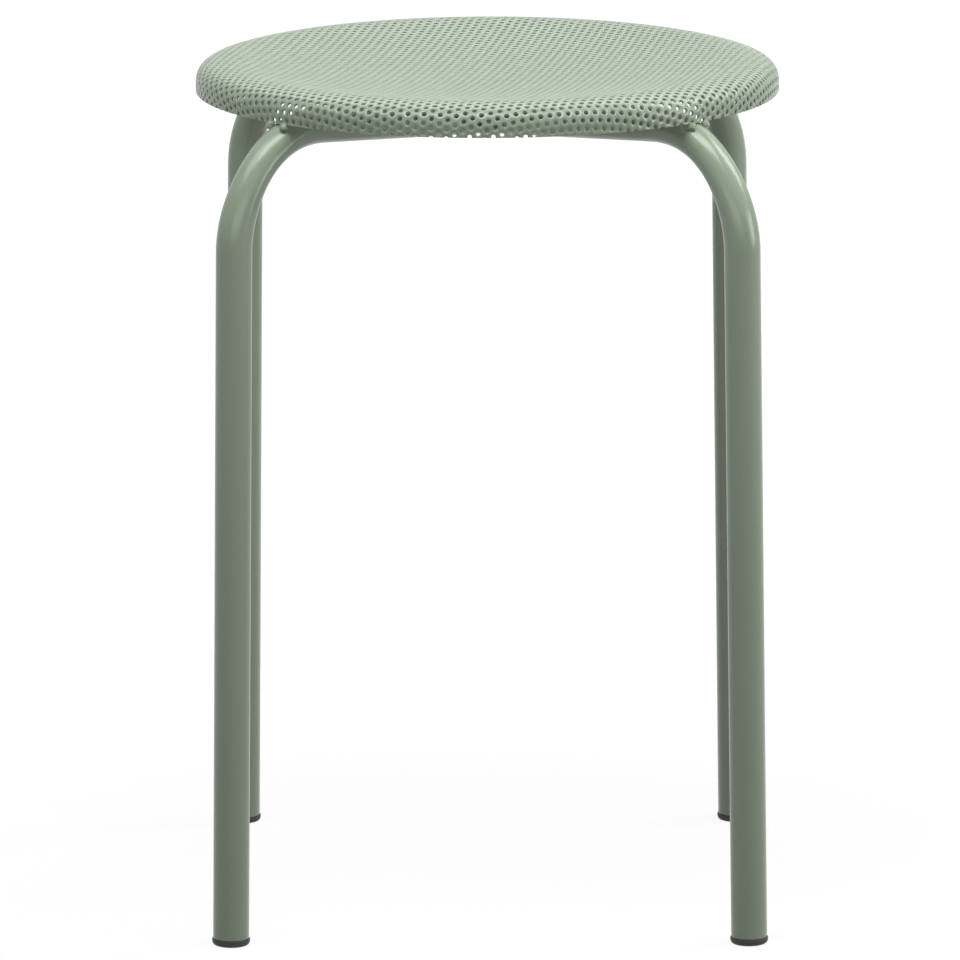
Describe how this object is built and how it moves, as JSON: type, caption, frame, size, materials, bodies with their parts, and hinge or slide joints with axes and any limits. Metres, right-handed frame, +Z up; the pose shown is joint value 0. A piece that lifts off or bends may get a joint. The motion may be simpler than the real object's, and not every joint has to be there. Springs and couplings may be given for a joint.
{
  "type": "stacking stool",
  "caption": "Round dished seat pan of perforated sheet steel, welded by its rim to bent tube legs that meet under its middle and stand on plastic foot inserts.",
  "frame": {"origin": "on the floor, under the middle of the round seat", "axes": "+Z up through the middle of the seat, -Y towards the front, +X to the right as seen from the front; the legs stand on the diagonals"},
  "size_m": [0.31, 0.31, 0.45],
  "materials": {
    "powder_coat": "satin",
    "foot_plastic": "matte"
  },
  "bodies": {
    "root": {"seat_pan": "powder_coat", "leg_front_left": "powder_coat", "leg_front_right": "powder_coat", "leg_rear_right": "powder_coat", "leg_rear_left": "powder_coat", "foot_front_left": "foot_plastic", "foot_front_right": "foot_plastic", "foot_rear_right": "foot_plastic", "foot_rear_left": "foot_plastic", "rim_weld_front_left_right": "powder_coat", "rim_weld_front_left_left": "powder_coat", "rim_weld_front_right_right": "powder_coat", "rim_weld_front_right_left": "powder_coat", "rim_weld_rear_right_right": "powder_coat", "rim_weld_rear_right_left": "powder_coat", "rim_weld_rear_left_right": "powder_coat", "rim_weld_rear_left_left": "powder_coat", "hub_weld_right": "powder_coat", "hub_weld_rear": "powder_coat", "hub_weld_left": "powder_coat", "hub_weld_front": "powder_coat"}
  },
  "joints": []
}
